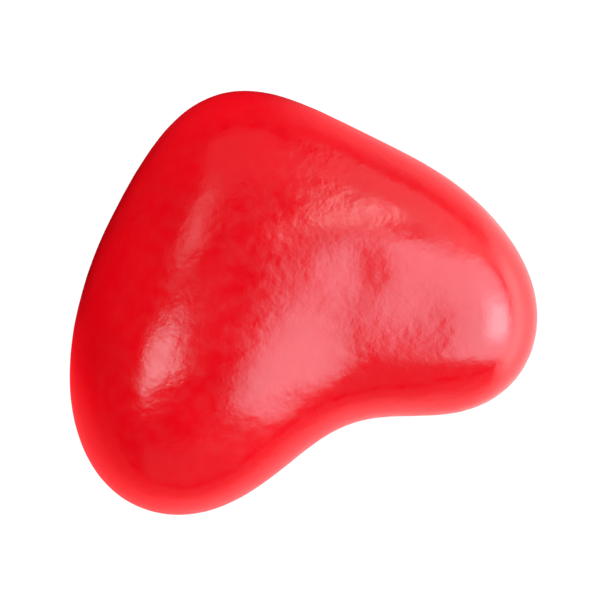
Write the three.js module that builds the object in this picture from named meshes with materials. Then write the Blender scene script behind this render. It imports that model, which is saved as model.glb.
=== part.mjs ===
// A heart-shaped jelly bean: one plump, slightly lopsided heart that lies on its flatter side.
//
// Millimetres, +Z up. +X runs across the two lobes and the tip points to -Y. The origin is on
// the surface that the bean rests on, under the middle of its box.
//
// The outline is five soft swellings that run into one another: the tip, two flanks and two
// lobes. The skin over it is a rounded pillow, a little higher on top than underneath, and
// pressed flat on a small spot where the bean rests.

import * as THREE from 'three';
import { mergeVertices } from 'three/addons/utils/BufferGeometryUtils.js';

// Driving dimensions, in millimetres from the middle of the heart.
// The reach of a swelling is the radius that it would have if it were alone.
const SWELLINGS = [
  { name: 'tip', x: -0.75, y: -6, reach: 0 },
  { name: 'narrow flank', x: -4, y: -0.5, reach: 2 },
  { name: 'broad flank', x: 2.5, y: -0.75, reach: 4.2 },
  { name: 'narrow lobe', x: -5.4, y: 3.75, reach: 2.35 },
  { name: 'broad lobe', x: 5.8, y: 2.7, reach: 2.4 },
];
const SOFTNESS = 4.7; // the distance over which the swellings melt together
const CROWN = 5.3; // from the widest line up to the skin over the middle
const BELLY = 4.7; // from the widest line down to the unpressed skin under the middle
const PRESSED = 0.15; // how far the underside is pressed in where the bean rests

// Form of the pillow, without a unit.
const PLATEAU = 0.5; // a higher value spreads the flat of the faces
const SHOULDER = 2.4; // 2 is an ellipse, and a higher value makes squarer shoulders

// Fineness of the faceted skin.
const GRID_STEPS = 24; // steps along each edge of the cube that is blown up into the bean
const HALVINGS = 30; // steps of the search for the skin along a ray
const FAR_OUTSIDE = 20; // a distance from the middle that is outside the bean everywhere

// How full the heart is at a point of its plan: 1 on the outline, and more inside it.
function fullness(x, y) {
  return SWELLINGS.reduce((sum, swelling) => {
    const away = (x - swelling.x) ** 2 + (y - swelling.y) ** 2;
    return sum + Math.exp((swelling.reach ** 2 - away) / SOFTNESS ** 2);
  }, 0);
}

const MIDDLE_RISE = 1 - fullness(0, 0) ** -PLATEAU;

// Below 1 inside the bean, 1 on its skin and above 1 outside.
function skinLevel(x, y, z) {
  const halfHeight = z > 0 ? CROWN : BELLY;
  const climb = (Math.abs(z) / halfHeight) ** SHOULDER;
  return fullness(x, y) ** -PLATEAU + MIDDLE_RISE * climb;
}

// The distance from the middle of the bean to its skin along a unit vector.
function distanceToSkin(ray) {
  let inside = 0;
  let outside = FAR_OUTSIDE;
  for (let i = 0; i < HALVINGS; i++) {
    const reach = (inside + outside) / 2;
    if (skinLevel(ray.x * reach, ray.y * reach, ray.z * reach) < 1) inside = reach;
    else outside = reach;
  }
  const toRestingSpot = ray.z < 0 ? (PRESSED - BELLY) / ray.z : FAR_OUTSIDE;
  return Math.min(inside, toRestingSpot);
}

// A closed cube of small squares, with its edges' vertices merged.
function gridCube(steps) {
  const cube = new THREE.BoxGeometry(1, 1, 1, steps, steps, steps);
  cube.deleteAttribute('normal');
  cube.deleteAttribute('uv');
  return mergeVertices(cube);
}

// The cube blown up until each of its vertices lies on the skin of the bean.
function beanGeometry() {
  const bean = gridCube(GRID_STEPS);
  const position = bean.getAttribute('position');
  const vertex = new THREE.Vector3();
  for (let i = 0; i < position.count; i++) {
    vertex.fromBufferAttribute(position, i).normalize();
    vertex.multiplyScalar(distanceToSkin(vertex));
    position.setXYZ(i, vertex.x, vertex.y, vertex.z);
  }
  bean.computeVertexNormals();
  return bean;
}

// Moves the geometry so that the origin is under the middle of its box.
function standOnOrigin(geometry) {
  geometry.computeBoundingBox();
  const box = geometry.boundingBox;
  const middle = box.getCenter(new THREE.Vector3());
  return geometry.translate(-middle.x, -middle.y, -box.min.z);
}

const glazedSugar = new THREE.MeshStandardMaterial({
  color: new THREE.Color(0xe0101c),
  roughness: 0.25,
  metalness: 0,
});

const jellyBean = new THREE.Mesh(standOnOrigin(beanGeometry()), glazedSugar);
jellyBean.name = 'jelly_bean';

const group = new THREE.Group();
group.add(jellyBean);

export default group;
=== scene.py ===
# %% [markdown]
# # A heart-shaped jelly bean
#
# A jelly bean starts as a soft jelly centre cast in a heart-shaped hollow of starch. It is then
# tumbled in syrup and sugar until it wears a thin shell, and last of all in wax until it shines.
# The tumbling rounds every edge, makes each heart a little lopsided and leaves a fine orange-peel
# relief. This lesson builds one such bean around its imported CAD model: first the form, then the
# relief, the dents and the pits of the shell, then the red glaze, and at the end the studio.

# %% The frame and its box
import math

import bmesh
import bpy
import numpy as np
from mathutils import Matrix, Quaternion, Vector, kdtree, noise
from mathutils.bvhtree import BVHTree


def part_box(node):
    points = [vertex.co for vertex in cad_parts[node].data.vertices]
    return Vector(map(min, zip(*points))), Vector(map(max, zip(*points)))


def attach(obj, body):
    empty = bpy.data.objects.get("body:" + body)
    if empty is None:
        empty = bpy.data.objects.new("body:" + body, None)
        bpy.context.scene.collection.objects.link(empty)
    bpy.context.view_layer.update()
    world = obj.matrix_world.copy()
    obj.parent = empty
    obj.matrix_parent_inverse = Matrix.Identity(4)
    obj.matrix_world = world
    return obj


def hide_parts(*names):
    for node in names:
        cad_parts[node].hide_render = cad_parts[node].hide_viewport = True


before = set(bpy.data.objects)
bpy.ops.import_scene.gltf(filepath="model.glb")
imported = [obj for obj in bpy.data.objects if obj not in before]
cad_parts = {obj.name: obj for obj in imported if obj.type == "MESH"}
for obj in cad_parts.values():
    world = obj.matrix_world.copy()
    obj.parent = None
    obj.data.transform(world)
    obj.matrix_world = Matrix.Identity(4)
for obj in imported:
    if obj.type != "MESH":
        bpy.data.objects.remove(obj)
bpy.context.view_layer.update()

MM = 0.001  # sizes below are in millimetres, and the scene is in metres
box_low, box_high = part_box("jelly_bean")
print("CAD box in mm:", [round(side / MM, 2) for side in box_high - box_low])

# %% [markdown]
# ## The camera
#
# The bean lies on a table and is looked at from straight above, so the camera hangs over it. A
# long lens from a good distance keeps the outline free of perspective. The picture's up direction
# is a bearing in the plan of the bean, because a top view has no natural upright. It is made with
# a quaternion from the line of sight and that bearing.

# %% The camera over the bean
PICTURE_UP = math.radians(-115)  # the bearing in the bean's plan that is up in the picture
LEAN = math.radians(3)  # how far the line of sight leans off the vertical
LEAN_BEARING = math.radians(-50)  # where the camera moves to when it leans
AIM = (-0.8, 1.1)  # the place in the plan that is in the middle of the picture, in millimetres
FRAME_WIDTH = 22.5  # what the picture spans at the height of the bean, in millimetres
LENS = 250.0  # in millimetres, for Blender's sensor of 36 mm
SENSOR = 36.0


def in_plan(bearing):
    """A unit vector in the floor plane."""
    return Vector((math.cos(bearing), math.sin(bearing), 0))


camera_data = bpy.data.cameras.new("overhead_camera")
camera_data.lens = LENS
camera_data.sensor_width = SENSOR
camera = bpy.data.objects.new("overhead_camera", camera_data)
bpy.context.scene.collection.objects.link(camera)
bpy.context.scene.camera = camera

middle = (box_low + box_high) / 2
aim = Vector((AIM[0] * MM, AIM[1] * MM, middle.z))
towards_camera = math.sin(LEAN) * in_plan(LEAN_BEARING) + math.cos(LEAN) * Vector((0, 0, 1))
camera.location = aim + towards_camera * FRAME_WIDTH * MM * LENS / SENSOR
side = in_plan(PICTURE_UP).cross(towards_camera).normalized()
upward = towards_camera.cross(side)
camera.rotation_mode = "QUATERNION"
camera.rotation_quaternion = Matrix((side, upward, towards_camera)).transposed().to_quaternion()
print("camera height in mm:", round(camera.location.z / MM))

# %% [markdown]
# ## The form of the heart
#
# A cast and tumbled heart has no straight line and no edge, so it isn't built from boxes. It could
# be sculpted, or its outline could be drawn and inflated. Here it is written as a formula, because
# the CAD model uses the same one and the two then agree everywhere. The plan is five soft
# swellings that melt into one another, and the skin is a pillow over that plan.

# %% The plan: five swellings
# Place in the plan and reach, the radius that the swelling would have alone, in millimetres.
SWELLINGS = {
    "tip": (-0.75, -6, 0),
    "narrow flank": (-4, -0.5, 2),
    "broad flank": (2.5, -0.75, 4.2),
    "narrow lobe": (-5.4, 3.75, 2.35),
    "broad lobe": (5.8, 2.7, 2.4),
}
SOFTNESS = 4.7  # the distance over which the swellings melt together, in millimetres


def fullness(x, y):
    """How full the heart is at a place of its plan: 1 on the outline, and more inside it."""
    total = 0
    for centre_x, centre_y, reach in SWELLINGS.values():
        away = (x - centre_x) ** 2 + (y - centre_y) ** 2
        total = total + np.exp((reach**2 - away) / SOFTNESS**2)
    return total


print("fullness in the middle:", round(float(fullness(0, 0)), 2))

# %% The skin: a pillow over the plan
CROWN = 5.3  # from the widest line up to the skin over the middle, in millimetres
BELLY = 4.7  # from the widest line down to the unpressed skin under the middle
PRESSED = 0.15  # how far the underside is pressed in where the bean rests
PLATEAU = 0.5  # a higher value spreads the flat of the faces
SHOULDER = 2.4  # 2 is an ellipse, and a higher value makes squarer shoulders
MIDDLE_RISE = 1 - fullness(0, 0) ** -PLATEAU


def skin_level(points):
    """Below 1 inside the bean, 1 on its skin and above 1 outside, for rows of x, y, z."""
    x, y, z = points.T
    climb = np.abs(z) / np.where(z > 0, CROWN, BELLY)
    return fullness(x, y) ** -PLATEAU + MIDDLE_RISE * climb**SHOULDER


print("skin level at the crown:", float(skin_level(np.array([[0, 0, CROWN]]))[0].round(2)))

# %% [markdown]
# ## Blowing up a cube
#
# A ball made of rings has poles where its faces pinch. A cube whose faces are cut into a grid has
# none, so it makes a more even skin. Each of its vertices then slides along its ray from the
# middle until it meets the skin. That place is found by halving: the middle of the remaining
# stretch is either inside or outside.

# %% A grid cube
GRID_CUTS = 127  # cuts along each edge of the cube, for a piece of about 196,600 triangles

bean = bmesh.new()
bmesh.ops.create_cube(bean, size=2)
bmesh.ops.subdivide_edges(bean, edges=bean.edges[:], cuts=GRID_CUTS, use_grid_fill=True)
print("faces of the grid cube:", len(bean.faces))

# %% Each vertex goes to the skin
HALVINGS = 30
FAR_OUTSIDE = 20.0  # a distance from the middle that is outside the bean everywhere, in millimetres

rays = np.array([vertex.co.normalized() for vertex in bean.verts])
inside = np.zeros(len(rays))
outside = np.full(len(rays), FAR_OUTSIDE)
for _ in range(HALVINGS):
    reach = (inside + outside) / 2
    is_inside = skin_level(rays * reach[:, None]) < 1
    inside = np.where(is_inside, reach, inside)
    outside = np.where(is_inside, outside, reach)

to_resting_spot = np.full(len(rays), FAR_OUTSIDE)
looks_down = rays[:, 2] < 0
to_resting_spot[looks_down] = (PRESSED - BELLY) / rays[looks_down, 2]
skin = rays * np.minimum(inside, to_resting_spot)[:, None]
print("skin in mm, low:", skin.min(0).round(2), "high:", skin.max(0).round(2))

# %% [markdown]
# ## Placing the bean in the frame
#
# The formula's own origin is the middle of the heart, and the frame's origin is on the table under
# the middle of the box. The two boxes are laid over each other once, so that every later step
# can work in the frame.
#
# Pressing the resting spot flat leaves a sharp edge around it, and a tumbled sweet has none. A
# bevel would put new faces into the even grid. Smoothing the vertices near the table, up and down
# only, rounds the edge and keeps both the grid and the outline.

# %% From the formula's origin to the frame's
skin_middle = (skin.min(0) + skin.max(0)) / 2
to_frame = Vector((middle.x / MM - skin_middle[0], middle.y / MM - skin_middle[1], BELLY - PRESSED))
for vertex, place in zip(bean.verts, skin):
    vertex.co = (Vector(place) + to_frame) * MM
print("shift to the frame in mm:", [round(step, 2) for step in to_frame])

# %% Rounding the edge of the resting spot
EDGE_HEIGHT = 0.5 * MM  # up to here the skin over the table is eased
EASINGS = 80

near_table = [vertex for vertex in bean.verts if vertex.co.z < EDGE_HEIGHT]
for _ in range(EASINGS):
    bmesh.ops.smooth_vert(bean, verts=near_table, factor=0.5, use_axis_z=True)
bean.normal_update()
print("vertices eased:", len(near_table))

# %% [markdown]
# ## The relief of the shell
#
# A tumbled shell is never quite even. Broad waves a few millimetres long bend the outline of every
# highlight, ripples fray it, and the sugar leaves a fine orange peel. A bump in the material could
# fake all of this, but real relief in the mesh is there from every side, so only the grain that is
# too fine for the mesh is left to the glaze. The relief is collected as a depth for each vertex and
# goes inwards from the skin, so the bean stays in its CAD box.

# %% Five sizes of noise
LEAST_DEPTH = 0.012  # keeps the whole relief just under the skin, in millimetres
# Each kind of relief: how far apart its hills are and how deep its valleys, in millimetres.
RELIEFS = {
    "waves": (4.5, 0.100),
    "ripples": (1.3, 0.014),
    "coarse peel": (0.43, 0.006),
    "orange peel": (0.29, 0.007),
    "fine peel": (0.20, 0.004),
}
NOISE_CORNER = Vector((3.1, 7.7, 1.9))  # how far apart in the endless noise the kinds are read
NOISE_TURN = Quaternion((1, 2, 3), 0.9)  # each kind is turned against the one before it

depths = np.full(len(bean.verts), LEAST_DEPTH)
corner = NOISE_CORNER
turn = Quaternion()
for name, (length, depth) in RELIEFS.items():
    to_noise = turn.to_matrix() * (1 / (length * MM))
    values = [noise.noise(to_noise @ vertex.co + corner) for vertex in bean.verts]
    depths += depth * (0.5 + 0.5 * np.array(values))  # the noise runs from -1 to 1
    corner = corner + NOISE_CORNER
    turn = NOISE_TURN @ turn
    print(name, "go down to mm:", depths.max().round(3))

# %% [markdown]
# ## Dents and pits
#
# Where beans knocked together in the drum they wear small dents. The jelly shrinks as it dries, so
# the top face also sinks in wide, shallow hollows around the notch and on the lobes, which shape
# the highlights most. Grains of sugar that came off leave tiny pits. They could be sculpted, but
# written down they are easy to find and change. Each one is a soft bowl: deepest in its middle and
# fading out with the square of the distance. A plumb line finds the skin under a place of the
# plan, and a k-d tree finds the vertices near it without looking at all of them.

# %% A soft bowl
REACH_OF_A_BOWL = 2.5  # in radii, past which it has faded out

vertex_finder = kdtree.KDTree(len(bean.verts))
for i, vertex in enumerate(bean.verts):
    vertex_finder.insert(vertex.co, i)
vertex_finder.balance()


def press(centre, radius, depth):
    """Presses a soft bowl into the skin around a point of the frame, sizes in millimetres."""
    for _, i, away in vertex_finder.find_range(centre, radius * MM * REACH_OF_A_BOWL):
        depths[i] += depth * math.exp(-((away / (radius * MM)) ** 2))


# %% The dents and hollows of the top face
# Each one: its place in the formula's plan, its radius and its depth, in millimetres.
DENTS = {
    "flat of the narrow lobe": (-5.8, 1.8, 3.5, 0.200),
    "knock in the narrow lobe": (-2.8, 0.0, 1.0, 0.095),
    "hollow above the notch": (-0.7, 2.3, 1.6, 0.140),
    "hollow beside the notch": (-4.0, 3.0, 1.8, 0.090),
    "hollow in the narrow lobe": (-5.0, 1.8, 1.8, 0.090),
    "hollow before the notch": (1.5, 3.2, 1.0, 0.070),
    "foot of the broad lobe": (5.0, 3.5, 2.0, 0.220),
    "flank of the narrow lobe": (-4.1, 5.7, 1.3, 0.110),
    "knock on the broad lobe": (5.6, 1.2, 0.9, 0.030),
    "knock by the tip": (0.9, -3.9, 0.8, 0.030),
    "hollow by the tip": (-0.8, -4.1, 1.3, 0.070),
}

skin_finder = BVHTree.FromBMesh(bean)
for x, y, radius, depth in DENTS.values():
    above = (Vector((x, y, FAR_OUTSIDE)) + to_frame) * MM
    on_skin = skin_finder.ray_cast(above, Vector((0, 0, -1)))[0]
    press(on_skin, radius, depth)
print("dents and hollows:", len(DENTS))

# %% The pits
PIT_COUNT = 120
PIT_RADII = (0.10, 0.20)
PIT_DEPTHS = (0.002, 0.006)
PIT_SEED = 7  # the same pits each time

chance = np.random.default_rng(PIT_SEED)
bean.verts.ensure_lookup_table()
for i in chance.choice(len(bean.verts), PIT_COUNT, replace=False):
    press(bean.verts[int(i)].co, chance.uniform(*PIT_RADII), chance.uniform(*PIT_DEPTHS))
print("deepest relief in mm:", depths.max().round(3))

# %% Pressing the relief in
FADE_HEIGHT = 0.25 * MM  # the relief fades out over this height, so the resting spot stays flat

for vertex, depth in zip(bean.verts, depths):
    share = min(1.0, vertex.co.z / FADE_HEIGHT)
    vertex.co -= vertex.normal * depth * MM * share
print("top of the bean in mm:", round(max(vertex.co.z for vertex in bean.verts) / MM, 2))

# %% The bean joins the scene
jelly_bean = bpy.data.objects.new("jelly_bean_glazed", bpy.data.meshes.new("jelly_bean_glazed"))
bean.to_mesh(jelly_bean.data)
bean.free()
bpy.context.scene.collection.objects.link(jelly_bean)
jelly_bean.data.shade_smooth()
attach(jelly_bean, "root")
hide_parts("jelly_bean")
print("triangles:", sum(len(face.vertices) - 2 for face in jelly_bean.data.polygons))

# %% [markdown]
# ## The red glaze
#
# The shell is sugar and colour under a film of wax. Light goes a little way into the sugar and
# comes back deeply red, and the waxed skin mirrors the lamps. The usual way to make a film of wax
# is a coat over the base, but a second clear layer mirrors too much at a flat angle and whitens
# the rims. So there is only the specular layer, at twice its usual strength and under dim lamps.
# The sugar is the base colour with some subsurface light. A noise on the roughness is the uneven
# polish, and a very fine bump is the grain of the sugar.

# %% Two helpers for nodes
def add_node(tree, kind, **settings):
    """Adds a shader node of a kind to a node tree."""
    node = tree.nodes.new("ShaderNode" + kind)
    for setting, value in settings.items():
        setattr(node, setting, value)
    return node


def remap(tree, value, from_range, to_range, course="SMOOTHSTEP"):
    """Turns a value of a node tree from one range to another, and holds it past either end."""
    node = add_node(tree, "MapRange", interpolation_type=course)
    node.inputs["From Min"].default_value, node.inputs["From Max"].default_value = from_range
    node.inputs["To Min"].default_value, node.inputs["To Max"].default_value = to_range
    tree.links.new(value, node.inputs["Value"])
    return node.outputs["Result"]


# %% The shader's even values
EVEN_VALUES = {
    "IOR": 1.5,
    "Specular IOR Level": 1.0,  # the usual strength is 0.5
    "Subsurface Weight": 0.2,
    "Subsurface Radius": (1.0, 0.06, 0.04),  # red light goes the farthest
    "Subsurface Scale": 1.0 * MM,
}

glaze = bpy.data.materials.new("red_glaze")
glaze.use_nodes = True
glaze_tree = glaze.node_tree
shader = glaze_tree.nodes["Principled BSDF"]
for socket, value in EVEN_VALUES.items():
    shader.inputs[socket].default_value = value
print("even values of the glaze:", len(EVEN_VALUES))

# %% A noise over the bean
MOST_OF_A_NOISE = (0.3, 0.7)  # nearly all of a noise lies between these values

on_bean = add_node(glaze_tree, "TexCoord").outputs["Object"]


def patches(length, detail=2.0):
    """A noise over the bean whose patches are about one length across, in millimetres."""
    node = add_node(glaze_tree, "TexNoise")
    node.inputs["Scale"].default_value = 1 / (length * MM)
    node.inputs["Detail"].default_value = detail
    glaze_tree.links.new(on_bean, node.inputs["Vector"])
    return node.outputs["Fac"]


def spread(value, low, high):
    """Spreads a noise over the values from low to high."""
    return remap(glaze_tree, value, MOST_OF_A_NOISE, (low, high), course="LINEAR")


# %% Colour, gloss and grain
THIN_GLAZE = (0.77, 0.001, 0.018, 1)
THICK_GLAZE = (0.70, 0.0005, 0.016, 1)
BEST_POLISH = 0.13  # as roughness
WORST_POLISH = 0.25
GRAIN_HEIGHT = 0.006 * MM

tint = add_node(glaze_tree, "Mix", data_type="RGBA")
tint.inputs["A"].default_value = THIN_GLAZE
tint.inputs["B"].default_value = THICK_GLAZE
glaze_tree.links.new(spread(patches(3.0), 0, 1), tint.inputs["Factor"])
glaze_tree.links.new(tint.outputs["Result"], shader.inputs["Base Color"])

polish = spread(patches(0.5, detail=4.0), BEST_POLISH, WORST_POLISH)
glaze_tree.links.new(polish, shader.inputs["Roughness"])

grain = add_node(glaze_tree, "Bump")
grain.inputs["Strength"].default_value = 1.0
grain.inputs["Distance"].default_value = GRAIN_HEIGHT
glaze_tree.links.new(patches(0.14, detail=3.0), grain.inputs["Height"])
glaze_tree.links.new(grain.outputs["Normal"], shader.inputs["Normal"])
jelly_bean.data.materials.append(glaze)
print("nodes in the glaze:", len(glaze_tree.nodes))

# %% [markdown]
# ## The table
#
# A table that glows a little by itself, as a light table does, stays white without a lamp that
# would also change the bean. It is white around the bean and pale grey farther away, so that the
# bean's outline stays clear in low views. A glowing sheet catches no shadow, so ambient occlusion
# gives it one: a soft shade where the bean hides the open air, a little red from the light that
# comes through the sweet. The camera alone sees these tones. To the bean, the same table is red,
# as if the rest of a pile lay around it and threw its light on the rims.

# %% A glowing sheet
SHEET_SIZE = 6.0  # in metres


def stage_sheet(name, height):
    """A flat sheet at a height in millimetres, its node tree and the colour socket of its glow."""
    grid = bmesh.new()
    bmesh.ops.create_grid(grid, x_segments=1, y_segments=1, size=SHEET_SIZE / 2)
    bmesh.ops.translate(grid, verts=grid.verts, vec=(0, 0, height * MM))
    sheet = bpy.data.objects.new(name, bpy.data.meshes.new(name))
    grid.to_mesh(sheet.data)
    grid.free()
    bpy.context.scene.collection.objects.link(sheet)
    finish = bpy.data.materials.new(name)
    finish.use_nodes = True
    sheet_tree = finish.node_tree
    sheet_tree.nodes.remove(sheet_tree.nodes["Principled BSDF"])
    glow = add_node(sheet_tree, "Emission")
    surface = sheet_tree.nodes["Material Output"].inputs["Surface"]
    sheet_tree.links.new(glow.outputs["Emission"], surface)
    sheet.data.materials.append(finish)
    return sheet, sheet_tree, glow.inputs["Color"]


# %% The tone of the table
# Tones and colours are times the brightness of a white page.
NEAR_TONE = 1.10  # of the table around the bean
FAR_TONE = 0.78  # of the table far away, and of the room
NEAR_AND_FAR = (12 * MM, 40 * MM)  # from the middle of the table

table, table_tree, table_glow = stage_sheet("white_table", 0)
table.visible_glossy = False

on_table = add_node(table_tree, "TexCoord").outputs["Object"]
from_bean = add_node(table_tree, "VectorMath", operation="LENGTH")
table_tree.links.new(on_table, from_bean.inputs[0])
tone = remap(table_tree, from_bean.outputs["Value"], NEAR_AND_FAR, (NEAR_TONE, FAR_TONE))
print("white to mm:", round(NEAR_AND_FAR[0] / MM), "grey from mm:", round(NEAR_AND_FAR[1] / MM))

# %% The shade under the bean
IN_THE_OPEN = (0.05, 0.60)  # the shares of open air above it between which the table gets bright
UNDER_THE_BEAN = (0.66, 0.30, 0.32, 1)  # times the tone
IN_THE_LIGHT = (1, 1, 1, 1)
SHADE_REACH = 7 * MM

open_air = add_node(table_tree, "AmbientOcclusion", samples=8)
open_air.inputs["Distance"].default_value = SHADE_REACH
shade = add_node(table_tree, "Mix", data_type="RGBA")
shade.inputs["A"].default_value = UNDER_THE_BEAN
shade.inputs["B"].default_value = IN_THE_LIGHT
lightness = remap(table_tree, open_air.outputs["AO"], IN_THE_OPEN, (0, 1))
table_tree.links.new(lightness, shade.inputs["Factor"])

shaded_tone = add_node(table_tree, "VectorMath", operation="SCALE")
table_tree.links.new(shade.outputs["Result"], shaded_tone.inputs[0])
table_tree.links.new(tone, shaded_tone.inputs["Scale"])
print("shade reaches mm:", round(SHADE_REACH / MM))

# %% One look for the camera and another for the bean
def two_looks(tree, for_the_bean):
    """A mix node whose A is what the bean is lit by, and whose B is what the camera sees."""
    looks = add_node(tree, "Mix", data_type="RGBA")
    looks.inputs["A"].default_value = for_the_bean
    seen_by_camera = add_node(tree, "LightPath").outputs["Is Camera Ray"]
    tree.links.new(seen_by_camera, looks.inputs["Factor"])
    return looks


# %% The red light of the table
RED_TABLE = (1.75, 0.52, 0.52, 1)  # what lights the bean

table_looks = two_looks(table_tree, RED_TABLE)
table_tree.links.new(shaded_tone.outputs["Vector"], table_looks.inputs["B"])
table_tree.links.new(table_looks.outputs["Result"], table_glow)
print("nodes in the table:", len(table_tree.nodes))

# %% [markdown]
# ## A card for the gloss
#
# The rim of a glossy sweet mirrors what lies around it on the table. Other beans could be built
# for that, but a card with soft glows is easier to place. It is dark by itself, as the gaps of a
# pile are, with white where bare paper and the window are mirrored and red where the next bean or
# the light through this one is. Each glow faces a bearing of the picture and fades out to either
# side of it. Only the gloss sees the card, so it throws no shadow and doesn't show.

# %% Bearings in the picture
def picture_bearing(degrees):
    """The plan direction of a bearing counted from the picture's right, anticlockwise."""
    return in_plan(PICTURE_UP + math.radians(degrees - 90))


print("the picture's right in the plan:", [round(part, 2) for part in picture_bearing(0)])

# %% The card that only the gloss sees
CARD_HEIGHT = 0.03  # in millimetres

card, card_tree, card_glow = stage_sheet("shaded_card", CARD_HEIGHT)
card.visible_camera = False
card.visible_diffuse = False
card.visible_shadow = False

on_card = add_node(card_tree, "TexCoord").outputs["Object"]
distance = add_node(card_tree, "VectorMath", operation="LENGTH")
card_tree.links.new(on_card, distance.inputs[0])
outwards = add_node(card_tree, "VectorMath", operation="NORMALIZE")
card_tree.links.new(on_card, outwards.inputs[0])


def closeness(bearing, nothing_at, all_at):
    """1 on the card near a bearing and 0 away from it, by the angle to either side in degrees."""
    cosine = add_node(card_tree, "VectorMath", operation="DOT_PRODUCT")
    cosine.inputs[1].default_value = picture_bearing(bearing)
    card_tree.links.new(outwards.outputs["Vector"], cosine.inputs[0])
    cosines = [math.cos(math.radians(angle)) for angle in (nothing_at, all_at)]
    return remap(card_tree, cosine.outputs["Value"], cosines, (0, 1))


# %% The glows of the card
# Each glow: its colour, times the brightness of a white page; the bearing it faces, and the angles
# to either side of it with nothing and with all of it; the two distances from the bean, in
# millimetres, between which it changes, and its share at either one.
GLOWS = {
    "white paper": ((0.46, 0.46, 0.46), -24, 120, 5, (13, 38), (1.0, 0.35)),
    "white paper by the broad lobe": ((0.12, 0.12, 0.12), -118, 50, 5, (13, 38), (1.0, 0.5)),
    "window in the table": ((1.7, 1.7, 1.7), -6, 40, 18, (14, 38), (0.15, 1.0)),
    "red light through the broad lobe": ((1.3, 0.015, 0.03), -130, 55, 15, (14, 40), (1.0, 0.5)),
    "red light in the notch": ((0.9, 0.015, 0.03), -50, 50, 20, (14, 40), (1.0, 0.4)),
    "red light along the flank": ((0.7, 0.12, 0.13), 48, 38, 12, (13, 38), (1.0, 0.3)),
    "the next bean by the tip": ((0.27, 0.008, 0.015), 95, 50, 15, (13, 38), (1.0, 1.0)),
}

glow_so_far = None
for colour, bearing, nothing_at, all_at, distances, shares in GLOWS.values():
    share = add_node(card_tree, "Math", operation="MULTIPLY")
    card_tree.links.new(closeness(bearing, nothing_at, all_at), share.inputs[0])
    distance_range = [step * MM for step in distances]
    by_distance = remap(card_tree, distance.outputs["Value"], distance_range, shares)
    card_tree.links.new(by_distance, share.inputs[1])
    glow = add_node(card_tree, "VectorMath", operation="MULTIPLY_ADD")
    glow.inputs[0].default_value = colour
    glow.inputs[2].default_value = (0, 0, 0)
    card_tree.links.new(share.outputs["Value"], glow.inputs[1])
    if glow_so_far:
        card_tree.links.new(glow_so_far, glow.inputs[2])
    glow_so_far = glow.outputs["Vector"]
card_tree.links.new(glow_so_far, card_glow)
print("glows of the card:", len(GLOWS))

# %% [markdown]
# ## A flag for the matte red
#
# The red is deeper on the side away from the window, where the next beans of a pile would keep the
# light out. Dimming the key light would darken the whole bean. A flag, as studios call a dark
# board that takes light away, darkens the one side only. The matte red sees it, and the gloss and
# the camera don't.

# %% The dark flag
FLAG_BEARING = 180  # from the picture's right, anticlockwise, in degrees
FLAG_AWAY = 17  # from the middle of the bean, in millimetres
FLAG_WIDTH = 18  # in millimetres
FLAG_HEIGHT = 6
FLAG_COLOUR = (0.02, 0.0, 0.0, 1)

board = bmesh.new()
bmesh.ops.create_grid(board, x_segments=1, y_segments=1, size=0.5 * MM)
bmesh.ops.scale(board, verts=board.verts, vec=(FLAG_WIDTH, FLAG_HEIGHT, 1))
flag = bpy.data.objects.new("dark_flag", bpy.data.meshes.new("dark_flag"))
board.to_mesh(flag.data)
board.free()
bpy.context.scene.collection.objects.link(flag)
flag_side = picture_bearing(FLAG_BEARING)
flag.location = flag_side * FLAG_AWAY * MM + Vector((0, 0, FLAG_HEIGHT / 2 * MM))
flag.rotation_mode = "QUATERNION"
flag.rotation_quaternion = flag_side.to_track_quat("Z", "Y")
black = bpy.data.materials.new("dark_flag")
black.use_nodes = True
black.node_tree.nodes["Principled BSDF"].inputs["Base Color"].default_value = FLAG_COLOUR
flag.data.materials.append(black)
flag.visible_camera = False
flag.visible_glossy = False
flag.visible_shadow = False
print("flag at mm:", [round(part / MM, 1) for part in flag.location])

# %% [markdown]
# ## The lamps
#
# A very large soft box on the right of the picture, like a window, makes the broad highlight. A
# foot and an arm lengthen it down to the table and round towards the tip, and the edges of all
# three fade out, so that they run together. A small soft box on the left makes the narrow
# highlight, a weaker reflector lengthens it, and dim panels keep the rest of the skin from looking
# dull. The red shell gives a highlight most of its red, so the brightest lamps hold less of it.
#
# One set of lamps for everything would be simpler, but each change to a highlight would then also
# change the red. So the lamps that draw highlights reach only the gloss, and one broad key light
# reaches only the matte red below it. Each lamp is placed by its bearing in the picture.

# %% Soft edges for a lamp
PANEL_MIDDLE = (0.5, 0.5, 0)  # on a panel the coordinates run from 0 to 1 along either side
TO_AN_EDGE = 0.5


def soften_edges(lamp, fade):
    """Lets a lamp fade out towards its edges, over a share of its width and length."""
    lamp.use_nodes = True
    lamp_tree = lamp.node_tree
    on_panel = add_node(lamp_tree, "NewGeometry").outputs["Parametric"]
    from_middle = add_node(lamp_tree, "VectorMath", operation="SUBTRACT")
    from_middle.inputs[1].default_value = PANEL_MIDDLE
    lamp_tree.links.new(on_panel, from_middle.inputs[0])
    to_either_side = add_node(lamp_tree, "VectorMath", operation="ABSOLUTE")
    lamp_tree.links.new(from_middle.outputs["Vector"], to_either_side.inputs[0])
    apart = add_node(lamp_tree, "SeparateXYZ")
    lamp_tree.links.new(to_either_side.outputs["Vector"], apart.inputs["Vector"])
    both = add_node(lamp_tree, "Math", operation="MULTIPLY")
    for socket, axis in zip(both.inputs, "XY"):
        fading = remap(lamp_tree, apart.outputs[axis], (TO_AN_EDGE, TO_AN_EDGE - fade), (0, 1))
        lamp_tree.links.new(fading, socket)
    lamp_tree.links.new(both.outputs["Value"], lamp_tree.nodes["Emission"].inputs["Strength"])


# %% Lamps placed by their bearing
LAMP_DISTANCE = 0.5  # in metres
WHITE = (1, 1, 1)


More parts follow.
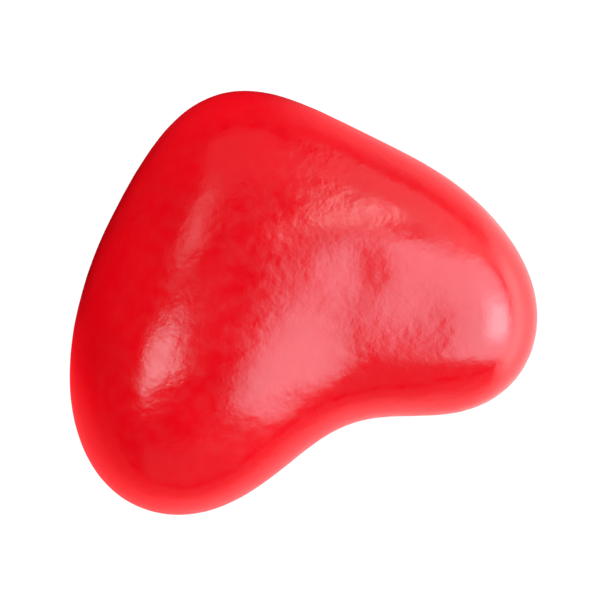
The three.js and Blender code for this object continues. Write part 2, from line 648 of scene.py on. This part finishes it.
def soft_box(
    name, bearing, height, width, length, brightness, roll=0, colour=WHITE, fade=0, reaches="gloss"
):
    """A lamp panel that faces the bean: height is its angle above the table in degrees, width and
    length are in metres, brightness is times that of a white page and roll is in degrees."""
    up = math.radians(height)
    direction = math.cos(up) * picture_bearing(bearing) + math.sin(up) * Vector((0, 0, 1))
    lamp = bpy.data.lights.new(name, "AREA")
    lamp.shape = "RECTANGLE"
    lamp.size = width
    lamp.size_y = length
    lamp.energy = brightness * math.pi * width * length  # the watts for this brightness
    lamp.color = colour
    if fade:
        soften_edges(lamp, fade)
    holder = bpy.data.objects.new(name, lamp)
    holder.location = direction * LAMP_DISTANCE
    holder.rotation_mode = "QUATERNION"
    facing = direction.to_track_quat("Z", "Y")
    holder.rotation_quaternion = facing @ Quaternion((0, 0, 1), math.radians(roll))
    holder.visible_camera = False
    holder.visible_glossy = reaches == "gloss"
    holder.visible_diffuse = reaches == "matte"
    bpy.context.scene.collection.objects.link(holder)
    print(name, "watts:", round(lamp.energy, 2))


# %% The window, with its foot and its arm
soft_box(
    "window", bearing=-13, height=37, width=0.82, length=0.86,
    brightness=2.2, roll=17, colour=(0.55, 1.0, 1.12), fade=0.2,
)
soft_box(
    "window_foot", bearing=-7, height=26, width=0.36, length=0.36,
    brightness=2.75, colour=(0.55, 1.0, 1.1), fade=0.35,
)
soft_box(
    "window_arm", bearing=56, height=51, width=0.11, length=0.36,
    brightness=2.7, fade=0.3,
)

# %% The left side
soft_box(
    "left_soft_box", bearing=196, height=60.5, width=0.25, length=0.26,
    brightness=3.0, colour=(0.60, 0.95, 1.0), fade=0.25,
)
soft_box(
    "left_reflector", bearing=131, height=52, width=0.25, length=0.22,
    brightness=1.15, fade=0.45,
)

# %% The dim panels, and the key light for the matte red
soft_box("back_panel", bearing=45, height=20, width=0.38, length=0.36, brightness=0.55)
soft_box("tip_panel", bearing=97, height=34, width=0.38, length=0.40, brightness=0.18)
soft_box("front_panel", bearing=280, height=25, width=0.80, length=0.30, brightness=0.125)
soft_box("ceiling", bearing=180, height=75, width=0.30, length=0.22, brightness=0.08)
soft_box(
    "key_light", bearing=0, height=31, width=1.0, length=0.50, brightness=0.98, reaches="matte"
)

# %% [markdown]
# ## The room
#
# A real room could be built of walls, but its even light is all that the bean needs. The world is
# as pale as the far table to the camera and a warm red to the matte skin, like the table, and the
# gloss doesn't see it at all.

# %% The room
ROOM_COLOUR = (1.04, 0.31, 0.31, 1)  # what lights the bean

world = bpy.data.worlds.new("studio")
bpy.context.scene.world = world
world.use_nodes = True
world.cycles_visibility.glossy = False
world_tree = world.node_tree
room_looks = two_looks(world_tree, ROOM_COLOUR)
room_looks.inputs["B"].default_value = (FAR_TONE, FAR_TONE, FAR_TONE, 1)
room_glow = world_tree.nodes["Background"].inputs["Color"]
world_tree.links.new(room_looks.outputs["Result"], room_glow)
bpy.context.scene.view_settings.view_transform = "Standard"
print("nodes in the room:", len(world_tree.nodes))
